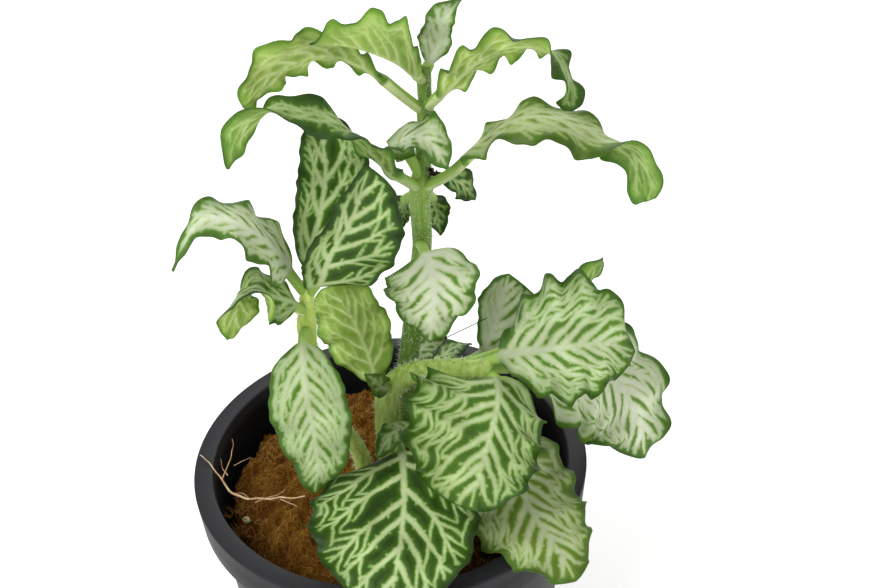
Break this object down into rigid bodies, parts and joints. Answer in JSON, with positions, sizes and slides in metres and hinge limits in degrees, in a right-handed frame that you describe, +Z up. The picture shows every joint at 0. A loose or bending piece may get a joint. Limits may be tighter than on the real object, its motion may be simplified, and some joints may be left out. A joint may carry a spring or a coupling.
{
  "type": "potted nerve plant",
  "caption": "Leafy green house plant with pale-veined waved leaves, on upright and leaning stems in a plug of growing mix in a round nursery pot.",
  "frame": {"origin": "centre of the pot's flat base, on the surface it stands on", "axes": "+Z up along the pot's axis, -Y towards the side the plant is looked at from, +X to the viewer's right"},
  "size_m": [0.1112, 0.0963, 0.1906],
  "materials": {
    "pot_plastic": "moulded polypropylene, satin",
    "growing_mix": "loose coir fibre, matte",
    "green_stem": "soft hairy green stem, satin",
    "green_leaf": "veined leaf, satin",
    "pale_leaf": "pale veined leaf, satin",
    "root": "dry root, matte"
  },
  "bodies": {
    "root": {"pot": "pot_plastic", "growing_plug": "growing_mix", "stem_tall": "green_stem", "stem_left": "green_stem", "stem_low": "green_stem", "leaf_top_bud": "pale_leaf", "leaf_top_left": "green_leaf", "leaf_upper_left": "green_leaf", "leaf_upper_right": "green_leaf", "leaf_middle_left": "green_leaf", "leaf_middle_right": "green_leaf", "leaf_node_young": "pale_leaf", "leaf_node_back_left": "green_leaf", "leaf_node_back_right": "green_leaf", "leaf_node_side": "green_leaf", "leaf_hanging": "pale_leaf", "leaf_left_tall": "green_leaf", "leaf_left_round": "green_leaf", "leaf_left_arching": "green_leaf", "leaf_left_curled": "green_leaf", "leaf_left_hanging": "green_leaf", "leaf_crown_upright": "green_leaf", "leaf_right_large": "pale_leaf", "leaf_right_drooping": "pale_leaf", "leaf_right_upper": "green_leaf", "leaf_right_back": "pale_leaf", "leaf_back_small": "pale_leaf", "leaf_back_tiny": "green_leaf", "leaf_front_centre": "green_leaf", "leaf_front_large": "green_leaf", "leaf_front_right": "green_leaf", "leaf_crown_front": "green_leaf", "leaf_crown_striped": "pale_leaf", "leaf_crown_bud": "green_leaf", "loose_root": "root"}
  },
  "joints": []
}
